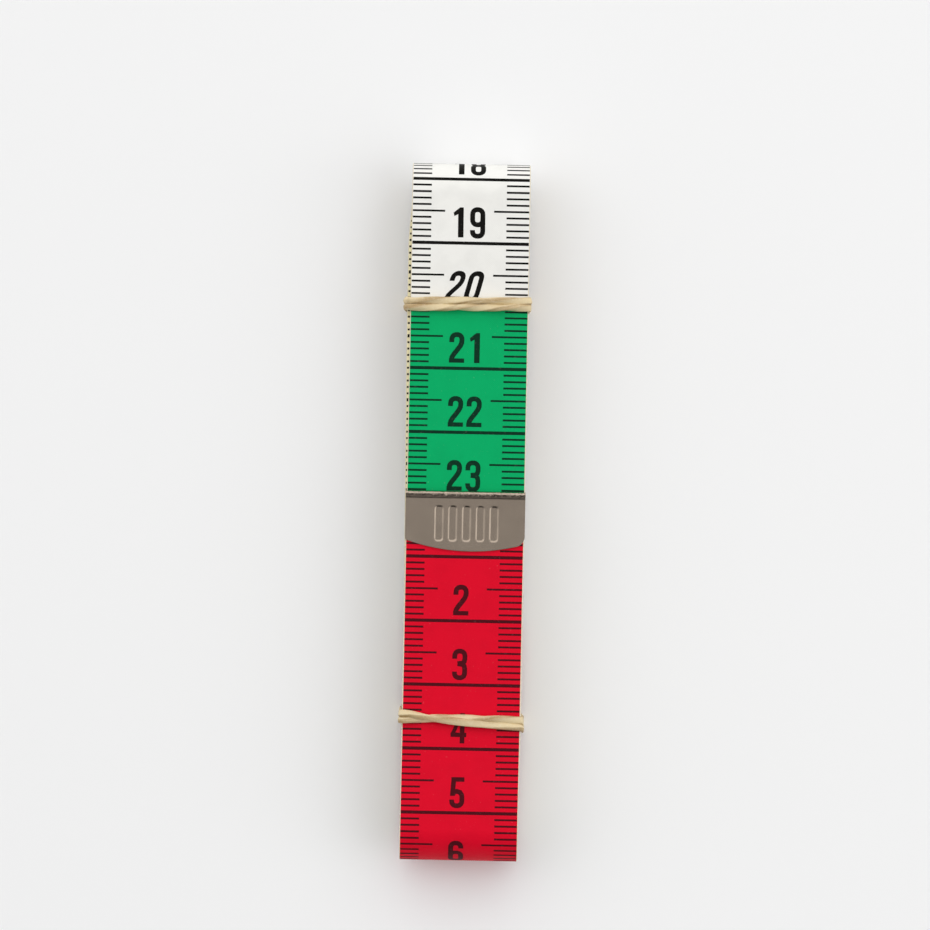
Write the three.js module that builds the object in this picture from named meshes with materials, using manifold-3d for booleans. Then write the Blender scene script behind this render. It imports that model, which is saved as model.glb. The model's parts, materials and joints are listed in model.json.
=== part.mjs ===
// Cloth tape measure of 150 cm, wound flat and held by two doubled rubber bands.
// Millimetres, +Z up. The winding lies on its back: X runs across the tape, Y along the winding
// and Z up to the front, where the zero end lies. The origin is the middle of the underside.
import * as THREE from 'three';
import Module from 'manifold-3d';

const wasm = await Module();
wasm.setup();

// Tape strip: its own size, and how it is wound
const tapeWidth = 18.5;
const tapeLength = 1500;
const tapeThickness = 0.24;
const turnGap = 0.41;
const bendCount = 14;
const zeroHeight = 57.7; // from the foot of the winding up to the zero edge
const innerRun = 30; // straight end of the tape in the core of the winding
const colourBlock = 100; // each length of this size has its own ground colour
const lateralWander = 0.9; // sideways room that the bands leave the turns

// Free end: the stretch of the first turn that lifts above the lower band
const liftMargin = 1; // from the lower band up to the line where the end bends
const liftGap = 0.4;
const tipRise = 0.35; // the tip's thickness holds the end this far off the turn below

// Metal tips: sheet folded over each end of the tape and crimped
const tipOverhang = 0.1; // past each edge of the tape
const tipSheet = 0.25;
const tipSideHeight = 7.5;
const tipMiddleHeight = 9.2;
const tipCornerRadius = 1.2;
const crimpClearance = 0.1;
const coreClearance = 0.47; // from a tip's face to the turn beside it in the core

// Rubber bands: each goes twice round the winding and crosses itself on the front
const strandWidth = 1.25;
const strandGap = 0.5;
const bandClearance = 0.3;
const bandInset = 22; // from each end of the winding
const crossingHalfLength = 6;
const upperCrossingShare = 0.1; // of the tape's width, to the right of its middle
const lowerCrossingShare = -0.12;

// Sideways place of each run at the two bands, as shares of the wander, first run to last
const upperWanderShares = [0.05, -0.2, 0.05, 0, -0.5, -0.1, -0.3, -0.3, 0, 0.05, -0.2, 0, -0.4, 0.05, 0];
const lowerWanderShares = [0.05, 0.1, 0.1, -0.05, 0.05, 0.1, 0, 0.05, 0.15, -0.1, -0.05, 0.1, 0, -0.1, 0.1];

// Steps of the faceted shapes
const runSteps = 4;
const bendSteps = 8;
const riseSteps = 6;
const foldSteps = 6;
const edgeSteps = 12;
const strandSides = 6;
const cornerSteps = 3;
const crossingSteps = 6;
const leastStep = 0.4; // between two points along the strip
const samplesPerMillimetre = 4;

// Ground colours of the print, in the order in which they follow each other from zero
const groundColours = [0xe0142e, 0xf4f1ea, 0x16a868, 0x2f6fb7, 0xf2c62e].map((c) => new THREE.Color(c));
const reverseColour = new THREE.Color(0xf1eee4);

const halfTape = tapeThickness / 2;
const turnPitch = tapeThickness + turnGap;
const tipWidth = tapeWidth + 2 * tipOverhang;
const tipHalf = halfTape + crimpClearance + tipSheet;
const endCover = tipSheet + crimpClearance; // the fold of a tip, past the end of the cloth
const innerClothRun = innerRun - endCover;
const coreSpacing = tipHalf + coreClearance + halfTape;
const strandRadius = strandWidth / 2;
const strandHalf = strandRadius * Math.cos(Math.PI / strandSides);
const strandSpacing = strandWidth + strandGap;

// Bends 0, 2, 4... are at the foot of the winding, bends 1, 3, 5... at its head, each inside the last.
function bendRadius(bend) {
  if (bend === bendCount - 1) return coreSpacing / 2;
  return coreSpacing + ((bendCount - 2 - bend) * turnPitch) / 2;
}

const bends = Array.from({ length: bendCount }, (_, bend) => bend);
const bendLength = bends.reduce((sum, bend) => sum + Math.PI * bendRadius(bend), 0);
const firstRun = zeroHeight - bendRadius(0) - halfTape;
const run = (tapeLength - firstRun - innerRun - bendLength) / (bendCount - 1);
const windingLength = run + bendRadius(0) + bendRadius(1) + tapeThickness;

const footY = -windingLength / 2 + bendRadius(0) + halfTape;
const headY = footY + run;
const zeroY = footY + firstRun;
const upperBandY = windingLength / 2 - bandInset;
const lowerBandY = -windingLength / 2 + bandInset;
const liftY = lowerBandY + (strandSpacing + strandWidth) / 2 + liftMargin;

const backZ = 2 * strandHalf + bandClearance + halfTape;
const frontZ = backZ + 2 * bendRadius(0);

// Run 0 is the front one with the zero end, run 1 the outermost at the back, run 2 lies under run 0.
function runZ(index) {
  let z = frontZ;
  for (let bend = 0; bend < index; bend += 1) z += (bend % 2 ? 2 : -2) * bendRadius(bend);
  return z;
}

function smooth(share) {
  const t = THREE.MathUtils.clamp(share, 0, 1);
  return t * t * (3 - 2 * t);
}

// The turns lie in line at both ends of the winding and wander most where the bands squeeze them.
function wander(index, y) {
  const upper = lateralWander * upperWanderShares[index % upperWanderShares.length];
  const lower = lateralWander * lowerWanderShares[index % lowerWanderShares.length];
  if (y > upperBandY) return upper * smooth((headY - y) / (headY - upperBandY));
  if (y < lowerBandY) return lower * smooth((y - footY) / (lowerBandY - footY));
  return lower + (upper - lower) * smooth((y - lowerBandY) / (upperBandY - lowerBandY));
}

// A stretch of the strip: at(distance) gives its middle and outward direction.
function runStretch(index, from, to, start, steps, rise = () => 0) {
  const outward = index % 2 ? -1 : 1;
  return {
    start,
    length: Math.abs(to - from),
    steps,
    at(distance) {
      const y = from + Math.sign(to - from) * distance;
      return { x: wander(index, y), y, z: runZ(index) + rise(y), ny: 0, nz: outward };
    },
  };
}

function bendStretch(bend, start) {
  const radius = bendRadius(bend);
  const foot = bend % 2 === 0;
  const middleZ = (runZ(bend) + runZ(bend + 1)) / 2;
  return {
    start,
    length: Math.PI * radius,
    steps: bendSteps,
    at(distance) {
      const turn = distance / radius;
      const ny = (foot ? -1 : 1) * Math.sin(turn);
      const nz = (foot ? 1 : -1) * Math.cos(turn);
      const y = (foot ? footY : headY) + ny * radius;
      return { x: 0, y, z: middleZ + nz * radius, ny, nz };
    },
  };
}

// Points along the stretches, with one more wherever the ground colour changes.
function stationsOf(stretches) {
  const stations = [];
  stretches.forEach((stretch) => {
    const { start, length, steps, at } = stretch;
    const marks = Array.from({ length: steps + 1 }, (_, k) => (length * k) / steps);
    for (let s = Math.ceil(start / colourBlock) * colourBlock; s < start + length; s += colourBlock) {
      marks.push(s - start);
    }
    marks.sort((a, b) => a - b);
    marks.forEach((mark) => {
      const s = start + mark;
      const last = stations.at(-1);
      if (!last || s - last.s > leastStep) stations.push({ s, ...at(mark) });
    });
  });
  return stations;
}

// The four corners of the strip at a station, anticlockwise as seen along the tape.
function stripCorners({ x, y, z, ny, nz }) {
  return [
    [1, 1],
    [-1, 1],
    [-1, -1],
    [1, -1],
  ].map(
    ([across, out]) =>
      new THREE.Vector3(
        x + (across * tapeWidth) / 2,
        y + out * halfTape * ny,
        z + out * halfTape * nz,
      ),
  );
}

function facedGeometry(faces) {
  const positions = [];
  const colours = [];
  faces.forEach(({ corners: [a, b, c, d], colour }) => {
    [a, b, c, a, c, d].forEach((corner) => {
      positions.push(...corner.toArray());
      if (colour) colours.push(...colour.toArray());
    });
  });
  const geometry = new THREE.BufferGeometry();
  geometry.setAttribute('position', new THREE.Float32BufferAttribute(positions, 3));
  if (colours.length) geometry.setAttribute('color', new THREE.Float32BufferAttribute(colours, 3));
  geometry.computeVertexNormals();
  return geometry;
}

function stripGeometry(stations) {
  const rings = stations.map(stripCorners);
  const reverseSide = 2;
  const faces = [];
  for (let k = 1; k < rings.length; k += 1) {
    const block = Math.floor((stations[k - 1].s + stations[k].s) / 2 / colourBlock);
    const ground = groundColours[block % groundColours.length];
    for (let side = 0; side < rings[k].length; side += 1) {
      const next = (side + 1) % rings[k].length;
      const corners = [rings[k - 1][side], rings[k - 1][next], rings[k][next], rings[k][side]];
      faces.push({ corners, colour: side === reverseSide ? reverseColour : ground });
    }
  }
  faces.push({ corners: rings[0].toReversed(), colour: reverseColour });
  faces.push({ corners: rings.at(-1), colour: reverseColour });
  return facedGeometry(faces);
}

// Smallest distance between points that lie over `apart` from each other along the path.
function leastDistance(points, apart) {
  let least = Infinity;
  for (let i = 0; i < points.length; i += 1) {
    for (let j = i + 1; j < points.length; j += 1) {
      const along = Math.abs(points[j].s - points[i].s);
      if (along < apart || points.path - along < apart) continue;
      least = Math.min(least, points[i].place.distanceTo(points[j].place));
    }
  }
  return least;
}

function clothMaterial() {
  return new THREE.MeshStandardMaterial({ vertexColors: true, roughness: 0.55, metalness: 0 });
}

// The wound strip, from the line where the free end bends to the end in the core.
function windingStretches() {
  const stretches = [];
  let s = zeroY - liftY + liftGap / 2;
  for (let index = 0; index <= bendCount; index += 1) {
    const down = index % 2 === 0;
    const from = index === 0 ? liftY - liftGap / 2 : down ? headY : footY;
    const end = index === bendCount ? from + (down ? -1 : 1) * innerClothRun : down ? footY : headY;
    stretches.push(runStretch(index, from, end, s, runSteps));
    s += Math.abs(end - from);
    if (index === bendCount) break;
    stretches.push(bendStretch(index, s));
    s += Math.PI * bendRadius(index);
  }
  return stretches;
}

function tapeWinding() {
  const stretches = windingStretches();
  const points = [];
  stretches.forEach(({ start, length, at }) => {
    const samples = Math.ceil(length * samplesPerMillimetre);
    for (let k = 0; k < samples; k += 1) {
      const { y, z } = at((length * k) / samples);
      points.push({ s: start + (length * k) / samples, place: new THREE.Vector3(0, y, z) });
    }
  });
  points.path = Infinity;
  const gap = leastDistance(points, turnPitch * 2) - tapeThickness;
  console.log(`tape_winding: least gap between turns ${gap.toFixed(3)} mm`);
  const mesh = new THREE.Mesh(stripGeometry(stationsOf(stretches)), clothMaterial());
  mesh.name = 'tape_winding';
  return mesh;
}

// The free end climbs from the first turn to the height of the tip, then runs level inside it.
function tapeFreeEnd() {
  const from = zeroY - endCover;
  const level = zeroY - tipMiddleHeight;
  const to = liftY + liftGap / 2;
  const rise = (y) => tipRise * smooth((y - to) / (level - to));
  const tipStretch = runStretch(0, from, level, endCover, 1, rise);
  const riseStretch = runStretch(0, level, to, zeroY - level, riseSteps, rise);
  const mesh = new THREE.Mesh(stripGeometry(stationsOf([tipStretch, riseStretch])), clothMaterial());
  mesh.name = 'tape_free_end';
  return mesh;
}

function solidOf(geometry) {
  const { array } = geometry.getAttribute('position');
  const merged = new Map();
  const corners = [];
  const triangles = [];
  for (let k = 0; k < array.length; k += 3) {
    const corner = [array[k], array[k + 1], array[k + 2]];
    const key = corner.map((value) => value.toFixed(4)).join();
    if (!merged.has(key)) {
      merged.set(key, corners.length / 3);
      corners.push(...corner);
    }
    triangles.push(merged.get(key));
  }
  const mesh = new wasm.Mesh({
    numProp: 3,
    vertProperties: new Float32Array(corners),
    triVerts: new Uint32Array(triangles),
  });
  return new wasm.Manifold(mesh);
}

function geometryOf(solid) {
  const { vertProperties, triVerts } = solid.getMesh();
  const geometry = new THREE.BufferGeometry();
  geometry.setAttribute('position', new THREE.BufferAttribute(vertProperties, 3));
  geometry.setIndex(new THREE.BufferAttribute(triVerts, 1));
  geometry.computeVertexNormals();
  return geometry;
}

// The folded sheet seen from its side: two faces and the fold, which reaches to y = 0.
function foldedSheetGeometry() {
  const inner = tipHalf - tipSheet;
  const profile = new THREE.Shape();
  profile.moveTo(-tipMiddleHeight, -tipHalf);
  profile.lineTo(-tipHalf, -tipHalf);
  profile.absarc(-tipHalf, 0, tipHalf, -Math.PI / 2, Math.PI / 2, false);
  profile.lineTo(-tipMiddleHeight, tipHalf);
  profile.lineTo(-tipMiddleHeight, inner);
  profile.lineTo(-tipSheet - inner, inner);
  profile.absarc(-tipSheet - inner, 0, inner, Math.PI / 2, -Math.PI / 2, true);
  profile.lineTo(-tipMiddleHeight, -inner);
  profile.closePath();
  const sheet = new THREE.ExtrudeGeometry(profile, {
    depth: tipWidth,
    bevelEnabled: false,
    curveSegments: foldSteps,
  });
  // The profile's axes become Y and Z, and the extrusion runs along X.
  const turned = new THREE.Matrix4().makeBasis(
    new THREE.Vector3(0, 1, 0),
    new THREE.Vector3(0, 0, 1),
    new THREE.Vector3(1, 0, 0),
  );
  return sheet.applyMatrix4(turned).translate(-tipWidth / 2, 0, 0);
}

// The tip seen from the front: straight sides and a lower edge that bows down in the middle.
function tipOutlineGeometry() {
  const half = tipWidth / 2;
  const overrun = tipHalf;
  const bow = tipMiddleHeight - tipSideHeight;
  const bowRadius = (half * half + bow * bow) / (2 * bow);
  const bowCentre = bowRadius - tipMiddleHeight;
  const edge = (x) => bowCentre - Math.sqrt(bowRadius * bowRadius - x * x);
  const outline = new THREE.Shape();
  outline.moveTo(-half, overrun);
  outline.lineTo(-half, edge(half) + tipCornerRadius);
  const corner = half - tipCornerRadius;
  outline.quadraticCurveTo(-half, edge(half), -corner, edge(corner));
  for (let k = 1; k < edgeSteps; k += 1) {
    const x = corner * ((2 * k) / edgeSteps - 1);
    outline.lineTo(x, edge(x));
  }
  outline.lineTo(corner, edge(corner));
  outline.quadraticCurveTo(half, edge(half), half, edge(half) + tipCornerRadius);
  outline.lineTo(half, overrun);
  outline.closePath();
  const thickness = tipHalf + overrun;
  const block = new THREE.ExtrudeGeometry(outline, {
    depth: 2 * thickness,
    bevelEnabled: false,
    curveSegments: foldSteps,
  });
  return block.translate(0, 0, -thickness);
}

const tipGeometry = geometryOf(solidOf(foldedSheetGeometry()).intersect(solidOf(tipOutlineGeometry())));

function metalTip(name) {
  const nickel = new THREE.MeshStandardMaterial({ color: 0x8c8076, roughness: 0.3, metalness: 1 });
  const mesh = new THREE.Mesh(tipGeometry, nickel);
  mesh.name = name;
  return mesh;
}

function outerEndTip() {
  const mesh = metalTip('outer_end_tip');
  mesh.position.set(wander(0, zeroY - tipSideHeight), zeroY, frontZ + tipRise);
  return mesh;
}

// The tip in the core points the way that the last run goes.
function innerEndTip() {
  const mesh = metalTip('inner_end_tip');
  const down = bendCount % 2 === 0;
  const y = down ? headY - innerRun : footY + innerRun;
  if (down) mesh.rotation.z = Math.PI;
  mesh.position.set(wander(bendCount, y), y, runZ(bendCount));
  return mesh;
}

// The outline that a strand follows round the winding, starting at the left end of the front.
// Straight stretches touch the winding's faces, and each corner turns about a corner of it.
function bandOutline(front, back) {
  const half = (tapeWidth + lateralWander) / 2;
  const offset = bandClearance + strandHalf;
  const corner = (offset * Math.PI) / 2;
  const height = front - back;
  const straight = (x, z, dx, dz, length, steps) => ({
    length,
    steps,
    at: (d) => ({ x: x + dx * d, z: z + dz * d, nx: -dz, nz: dx }),
  });
  const turn = (x, z, fromAngle) => ({
    length: corner,
    steps: cornerSteps,
    at(d) {
      const angle = fromAngle - d / offset;
      const [nx, nz] = [Math.cos(angle), Math.sin(angle)];
      return { x: x + offset * nx, z: z + offset * nz, nx, nz };
    },
  });
  return [
    straight(-half, front + offset, 1, 0, 2 * half, 0),
    turn(half, front, Math.PI / 2),
    straight(half + offset, front, 0, -1, height, 1),
    turn(half, back, 0),
    straight(half, back - offset, -1, 0, 2 * half, 2),
    turn(-half, back, -Math.PI / 2),
    straight(-half - offset, back, 0, 1, height, 1),
    turn(-half, front, -Math.PI),
  ];
}

// Share of the crossing that a strand has done at x, from -1 before it to 1 past it.
function crossingShareAt(x, crossingX) {
  const t = THREE.MathUtils.clamp((x - crossingX) / crossingHalfLength, -1, 1);
  return (3 * t - t * t * t) / 2;
}

function crossingPlace(share, crossingX) {
  return crossingX + crossingHalfLength * 2 * Math.sin(Math.asin(share) / 3);
}

// Middle of the strand on its first or second turn. The second passes over the first on the front.
function strandPoint(outline, turn, distance, bandY, crossingX) {
  let rest = distance;
  let piece = 0;
  while (rest > outline[piece].length && piece < outline.length - 1) {
    rest -= outline[piece].length;
    piece += 1;
  }
  const { x, z, nx, nz } = outline[piece].at(rest);
  const share = piece === 0 ? crossingShareAt(x, crossingX) : 1;
  const angle = (Math.PI / 2) * share;
  const side = turn === 0 ? 1 : -1;
  const y = bandY + (side * strandSpacing * Math.sin(angle)) / 2;
  const lift = piece === 0 && turn === 1 ? strandSpacing * Math.cos(angle) : 0;
  return { place: new THREE.Vector3(x, y, z + lift), out: new THREE.Vector3(nx, 0, nz) };
}

function stationDistances(outline, crossingX) {
  const distances = [0];
  const left = outline[0].at(0).x;
  for (let k = 0; k <= crossingSteps; k += 1) {
    distances.push(crossingPlace((2 * k) / crossingSteps - 1, crossingX) - left);
  }
  let start = outline[0].length;
  outline.slice(1).forEach(({ length, steps }) => {
    for (let k = 0; k < steps; k += 1) distances.push(start + (length * k) / steps);
    start += length;
  });
  return distances;
}

function rubberBand(name, front, back, bandY, crossingX) {
  const outline = bandOutline(front, back);
  const around = outline.reduce((sum, piece) => sum + piece.length, 0);
  const point = (turn, d) => strandPoint(outline, turn, d, bandY, crossingX);
  const nudge = strandRadius / samplesPerMillimetre / strandSides;
  const rings = [];
  for (let turn = 0; turn < 2; turn += 1) {
    stationDistances(outline, crossingX).forEach((d) => {
      const { place, out } = point(turn, d);
      const before = d < nudge ? place : point(turn, d - nudge).place;
      const along = point(turn, d + nudge).place.sub(before).normalize();
      const outward = out.addScaledVector(along, -out.dot(along)).normalize();
      const across = along.clone().cross(outward);
      const ring = [];
      for (let k = 0; k < strandSides; k += 1) {
        const angle = ((k + 1 / 2) * 2 * Math.PI) / strandSides;
        const corner = place.clone().addScaledVector(outward, strandRadius * Math.cos(angle));
        ring.push(corner.addScaledVector(across, strandRadius * Math.sin(angle)));
      }
      rings.push(ring);
    });
  }
  const faces = [];
  rings.forEach((ring, k) => {
    const following = rings[(k + 1) % rings.length];
    ring.forEach((corner, side) => {
      const next = (side + 1) % strandSides;
      faces.push({ corners: [corner, ring[next], following[next], following[side]] });
    });
  });
  const points = [];
  const samples = Math.ceil(2 * around * samplesPerMillimetre);
  for (let k = 0; k < samples; k += 1) {
    const s = (2 * around * k) / samples;
    const turn = s < around ? 0 : 1;
    points.push({ s, place: point(turn, s - turn * around).place });
  }
  points.path = 2 * around;
  const gap = leastDistance(points, strandWidth * strandSides) - strandWidth;
  console.log(`${name}: least gap between strands ${gap.toFixed(3)} mm`);
  const rubber = new THREE.MeshStandardMaterial({ color: 0xd3b98e, roughness: 0.45, metalness: 0 });
  const mesh = new THREE.Mesh(facedGeometry(faces), rubber);
  mesh.name = name;
  return mesh;
}

function upperRubberBand() {
  const front = runZ(2) + halfTape;
  return rubberBand('upper_rubber_band', front, backZ - halfTape, upperBandY, tapeWidth * upperCrossingShare);
}

function lowerRubberBand() {
  const front = frontZ + halfTape;
  return rubberBand('lower_rubber_band', front, backZ - halfTape, lowerBandY, tapeWidth * lowerCrossingShare);
}

const tapeMeasure = new THREE.Group();
tapeMeasure.add(tapeWinding(), tapeFreeEnd(), outerEndTip(), innerEndTip());
tapeMeasure.add(upperRubberBand(), lowerRubberBand());
console.log(`winding: ${windingLength.toFixed(2)} mm long`);

export default tapeMeasure;
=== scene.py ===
"""Cloth tape measure of 150 cm, wound flat and held by two doubled rubber bands."""

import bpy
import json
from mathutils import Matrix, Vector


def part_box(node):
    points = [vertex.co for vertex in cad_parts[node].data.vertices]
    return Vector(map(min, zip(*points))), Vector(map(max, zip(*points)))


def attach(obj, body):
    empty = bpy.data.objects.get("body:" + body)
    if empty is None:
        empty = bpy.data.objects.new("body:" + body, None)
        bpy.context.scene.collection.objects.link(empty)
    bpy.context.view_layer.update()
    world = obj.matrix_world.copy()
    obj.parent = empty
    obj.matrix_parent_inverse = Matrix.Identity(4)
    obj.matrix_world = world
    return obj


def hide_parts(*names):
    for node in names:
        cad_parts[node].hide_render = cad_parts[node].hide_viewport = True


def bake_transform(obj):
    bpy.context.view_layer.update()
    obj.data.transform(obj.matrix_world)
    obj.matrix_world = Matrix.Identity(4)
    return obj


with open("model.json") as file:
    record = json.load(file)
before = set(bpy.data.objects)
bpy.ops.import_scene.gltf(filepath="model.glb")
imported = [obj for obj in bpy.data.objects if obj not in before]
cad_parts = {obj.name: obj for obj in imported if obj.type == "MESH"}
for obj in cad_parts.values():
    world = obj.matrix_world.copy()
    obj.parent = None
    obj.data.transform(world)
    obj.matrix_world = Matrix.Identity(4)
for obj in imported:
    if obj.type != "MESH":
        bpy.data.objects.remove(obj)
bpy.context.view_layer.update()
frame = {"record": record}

import json
import math
from bisect import bisect_right
from typing import NamedTuple

import bmesh
import bpy
from bpy.props import FloatProperty, FloatVectorProperty, PointerProperty
from bpy.types import Operator, Panel, PropertyGroup
from mathutils import Matrix, Vector, noise
from mathutils.geometry import convex_hull_2d, delaunay_2d_cdt

bl_info = {
    "name": "Cloth Tape Measure",
    "version": (1, 0, 0),
    "blender": (4, 5, 0),
    "location": "View3D > Sidebar > Tape Measure",
    "description": "Dresses the packed solids of a wound sewing tape measure",
    "category": "Object",
}

MM = 0.001
X_AXIS = Vector((1, 0, 0))
SEAM_GAP = 0.01 * MM
# From the zero edge and the far edge to the ends of the cloth inside the tips
END_COVER = 0.35 * MM
RUN_STEP, FREE_STEP, BEND_STEP = 1.0 * MM, 0.4 * MM, 0.25 * MM


def length(name, description, millimetres):
    """A length property whose default is given in millimetres."""
    default = millimetres * MM
    return FloatProperty(
        name=name, description=description, default=default, precision=5, unit="LENGTH", subtype="DISTANCE"
    )


def linear(channel):
    share = channel / 255
    return share / 12.92 if share <= 0.04045 else ((share + 0.055) / 1.055) ** 2.4


def colour(name, description, red, green, blue):
    """A colour property whose default is given as a paint swatch of 0 to 255."""
    default = [linear(channel) for channel in (red, green, blue)]
    return FloatVectorProperty(
        name=name, description=description, default=default, min=0, max=1, subtype="COLOR"
    )


class TapeStripSettings(PropertyGroup):
    """The woven strip and how it is wound."""

    width: length("Width", "Width of the strip", 18.5)
    thickness: length("Thickness", "Thickness of the coated cloth", 0.4)
    solid_thickness: length("Solid thickness", "Thickness of the strip in the packed solids", 0.24)
    turn_pitch: length("Turn pitch", "From one turn of the winding to the next", 0.65)
    core_spacing: length("Core spacing", "From the middle of the core to the turn beside it", 1.06)
    zero_height: length("Zero height", "From the foot of the winding up to the zero edge", 57.7)
    inner_run: length("Inner run", "Straight end of the strip in the core", 30)
    wander: length("Wander", "Widest sideways spread of the turns", 0.9)
    tip_rise: length("Tip rise", "How far the tip holds the free end off the turn below", 0.35)
    tip_length: length("Tip length", "Stretch of the free end that lies level in its tip", 9.2)
    pinch: length("Pinch", "How far the upper band presses the front down", 0.22)
    pinch_reach: length("Pinch reach", "Half length of the dip under the upper band", 6)
    gather: length("Gather", "Cloth that the dip under the upper band takes up in the third run", 0.41)
    crimp_reach: length("Crimp reach", "Cloth at each end that its tip squeezes", 6.5)
    crimp_ease: length("Crimp ease", "Stretch over which the squeeze begins", 1.5)
    selvedge: length("Selvedge", "Bare fibre seen along both edges", 0.12)
    shoulder: length("Shoulder", "Height of the rounded edge below each face", 0.07)
    thread: length("Thread", "Pitch of the weave", 0.3)
    red: colour("First ground", "Ground colour from 0 to 10 cm", 223, 6, 40)
    white: colour("Second ground", "Ground colour from 10 to 20 cm", 241, 240, 235)
    green: colour("Third ground", "Ground colour from 20 to 30 cm", 0, 172, 101)
    blue: colour("Fourth ground", "Ground colour from 30 to 40 cm", 34, 98, 172)
    cream: colour("Fifth ground", "Ground colour from 40 to 50 cm", 249, 241, 198)
    reverse: colour("Reverse", "Colour of the side that faces inwards", 238, 236, 229)
    fibre: colour("Fibre", "Colour of the bare edges", 232, 222, 198)


class PrintedScaleSettings(PropertyGroup):
    """The printed centimetre scale."""

    line: length("Centimetre line", "Thickness of a centimetre line", 0.5)
    tick: length("Millimetre tick", "Thickness of a millimetre tick", 0.3)
    left_tick: length("Left tick", "Reach of a tick from the left edge", 3.05)
    left_half: length("Left half tick", "Reach of a half-centimetre tick from the left edge", 5.2)
    margin: length("Margin", "Cloth left bare of ticks at both edges", 0.15)
    right_tick: length("Right tick", "Reach of a tick from the right edge", 3.7)
    right_half: length("Right half tick", "Reach of a half-centimetre tick from the right edge", 5.65)
    advance: length("Advance", "From one figure of a number to the next", 2.9)
    base: length("Base", "From a centimetre line up to the foot of its number", 0.88)
    shift: length("Shift", "Sideways place of the numbers on the strip", -0.4)
    film: length("Film", "Height of the ink above the ground", 0.015)
    on_red: colour("Ink on first ground", "Ink as it dries on the first ground", 76, 12, 22)
    on_white: colour("Ink on second ground", "Ink as it dries on the second ground", 14, 13, 10)
    on_green: colour("Ink on third ground", "Ink as it dries on the third ground", 4, 50, 32)
    on_blue: colour("Ink on fourth ground", "Ink as it dries on the fourth ground", 6, 18, 40)
    on_cream: colour("Ink on fifth ground", "Ink as it dries on the fifth ground", 24, 20, 12)


class MetalTipSettings(PropertyGroup):
    """The metal tips crimped over both ends."""

    width: length("Width", "Width of a tip", 18.7)
    sheet: length("Sheet", "Thickness of the sheet", 0.25)
    side_height: length("Side height", "Height at the sides", 7.96)
    middle_height: length("Middle height", "Height at the lowest point of the bowed edge", 9.4)
    skew: length("Skew", "How far right of the middle the bowed edge is lowest", 0.8)
    right_corner: length("Right corner", "Radius of the lower right corner", 1.2)
    left_corner: length("Left corner", "Radius of the lower left corner", 0.35)
    half_depth: length("Half depth", "From the middle of the cloth to the outer face", 0.47)
    overhang: length("Overhang", "How far the zero end's fold stands past its solid", 0.28)
    roll: length("Roll", "How far the fold stands above the crimped face", 0.18)
    stamp_depth: length("Stamp depth", "Depth of the stamped grooves", 0.07)
    groove_pitch: length("Groove pitch", "From one stamped groove to the next", 2.15)
    groove_shift: length("Groove shift", "Sideways place of the middle groove", 0.2)
    groove_down: length("Groove place", "From the fold down to the middle of the grooves", 5.1)
    groove_half: length("Groove half length", "Half length of a groove's floor", 2.3)
    floor_half: length("Floor half width", "Half width of a groove's floor", 0.2)
    floor_round: length("Floor round", "Radius that is added round the floor", 0.34)
    groove_slope: length("Groove slope", "Width of a groove's sloping side", 0.16)
    metal: colour("Metal", "Colour of the plating", 172, 157, 142)


class RubberBandSettings(PropertyGroup):
    """The doubled rubber bands."""

    strand_width: length("Strand width", "Width of a strand", 1.14)
    strand_depth: length("Strand depth", "Depth of a strand", 0.9)
    strand_spacing: length("Strand spacing", "From one strand to the other", 1.04)
    step: length("Step", "Distance between two rings of a strand", 0.25)
    drift: length("Drift", "How far a strand strays from its course", 0.1)
    lower_slide: length("Lower slide", "How far the lower band slides down", 16)
    rubber: colour("Rubber", "Colour of the rubber", 222, 202, 160)
    # Darker colour of the random streaks, also used as painted shade on two opposite faces of each strand
    dusk: colour("Streaks", "Colour of the darker streaks", 168, 138, 92)


class StudioSettings(PropertyGroup):
    """Floor, light and camera."""

    span: length("Span", "Width of the picture at the front of the tape", 145.3)
    lens: FloatProperty(name="Lens", description="Focal length of the camera", default=200, unit="CAMERA")
    roll: FloatProperty(
        name="Roll", description="Turn of the camera", default=math.radians(1.15), subtype="ANGLE"
    )
    above: length("Above", "From the middle of the winding up to the middle of the picture", 7.42)
    floor: colour("Floor", "Colour of the floor", 246, 246, 246)


class Shade:
    """A socket of a node tree that takes part in Python expressions."""

    def __init__(self, nodes, socket):
        self.nodes = nodes
        self.socket = socket

    def maths(self, operation, *values):
        return self.nodes.node("ShaderNodeMath", {"operation": operation}, dict(enumerate(values)))

    def __add__(self, other):
        return self.maths("ADD", self, other)

    def __sub__(self, other):
        return self.maths("SUBTRACT", self, other)

    def __rsub__(self, other):
        return self.maths("SUBTRACT", other, self)

    def __mul__(self, other):
        return self.maths("MULTIPLY", self, other)

    def __truediv__(self, other):
        return self.maths("DIVIDE", self, other)

    def sine(self):
        return self.maths("SINE", self)

    def fraction(self):
        return self.maths("FRACT", self)

    def past(self, limit):
        """1 where the value is over the limit, else 0."""
        return self.maths("GREATER_THAN", self, limit)

    def clamped(self):
        return self.nodes.node("ShaderNodeClamp", {}, {"Value": self})

    def near(self, middle, reach):
        """1 at the middle, falling to 0 at the reach to both sides."""
        off = (self - middle) / reach
        return (1 - off * off).clamped()

    __radd__ = __add__
    __rmul__ = __mul__


class Nodes:
    """A node tree under construction."""

    def __init__(self, tree):
        self.tree = tree

    def node(self, kind, settings, inputs, output=0):
        node = self.tree.nodes.new(kind)
        for name, value in settings.items():
            setattr(node, name, value)
        for name, value in inputs.items():
            self.feed(node.inputs[name], value)
        return Shade(self, node.outputs[output])

    def feed(self, socket, value):
        if isinstance(value, Shade):
            self.tree.links.new(value.socket, socket)
        else:
            socket.default_value = value


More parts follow.
